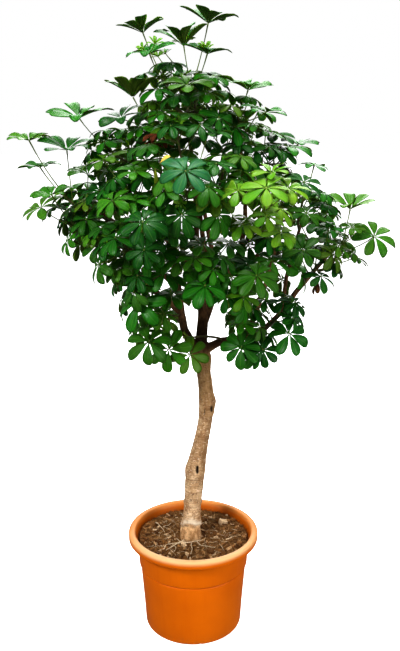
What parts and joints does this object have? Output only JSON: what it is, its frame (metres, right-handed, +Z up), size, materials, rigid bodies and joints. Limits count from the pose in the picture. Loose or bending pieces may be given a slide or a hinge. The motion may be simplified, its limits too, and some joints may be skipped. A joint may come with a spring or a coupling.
{
  "type": "potted umbrella plant",
  "caption": "Potted umbrella tree: a bare tan trunk, a round crown of palmate leaves, and an orange plastic pot with a rolled rim.",
  "frame": {"origin": "centre of the pot's flat underside, on the surface it stands on", "axes": "+Z up along the plant's height, -Y towards the side it is usually seen from, +X to that viewer's right"},
  "size_m": [0.9483, 0.8097, 1.641],
  "materials": {
    "pot_plastic": "satin",
    "potting_mix": "matte",
    "bark": "matte",
    "mulch_bark": "matte",
    "dry_root": "matte",
    "leaf": "satin"
  },
  "bodies": {
    "root": {"pot": "pot_plastic", "potting_mix": "potting_mix", "trunk_and_limbs": "bark", "bark_chip_1": "mulch_bark", "bark_chip_2": "mulch_bark", "bark_chip_3": "mulch_bark", "bark_chip_4": "mulch_bark", "bark_chip_5": "mulch_bark", "surface_root_left": "dry_root", "surface_root_front": "dry_root", "dry_twig": "dry_root", "shoot_top": "leaf", "shoot_top_left": "leaf", "shoot_upper_left": "leaf", "shoot_upper_left_outer": "leaf", "shoot_left_outer": "leaf", "shoot_left_middle": "leaf", "shoot_left_low": "leaf", "shoot_left_under": "leaf", "shoot_lower_left": "leaf", "shoot_fork": "leaf", "shoot_front_centre": "leaf", "shoot_front_left": "leaf", "shoot_front_left_high": "leaf", "shoot_front_high": "leaf", "shoot_upper_right": "leaf", "shoot_right_shoulder": "leaf", "shoot_bright": "leaf", "shoot_right_middle": "leaf", "shoot_right_outer": "leaf", "shoot_right_outer_low": "leaf", "shoot_right_low": "leaf", "shoot_right_under": "leaf", "shoot_under_back": "leaf", "shoot_front_right": "leaf", "shoot_front_middle": "leaf", "shoot_front_lower_left": "leaf", "shoot_front_right_high": "leaf", "shoot_front_upper_right": "leaf", "shoot_left_inner": "leaf", "shoot_back_top": "leaf", "shoot_back_left_high": "leaf", "shoot_back_right_high": "leaf", "shoot_back_centre": "leaf", "shoot_back_left": "leaf", "shoot_back_right": "leaf", "shoot_back_left_low": "leaf", "shoot_back_low": "leaf", "shoot_back_right_low": "leaf", "shoot_back_left_outer": "leaf", "shoot_back_right_outer": "leaf", "shoot_right_inner": "leaf", "shoot_centre_left": "leaf", "shoot_centre_right": "leaf", "shoot_centre_right_high": "leaf", "shoot_centre_high": "leaf", "shoot_back_lower_left": "leaf"}
  },
  "joints": []
}
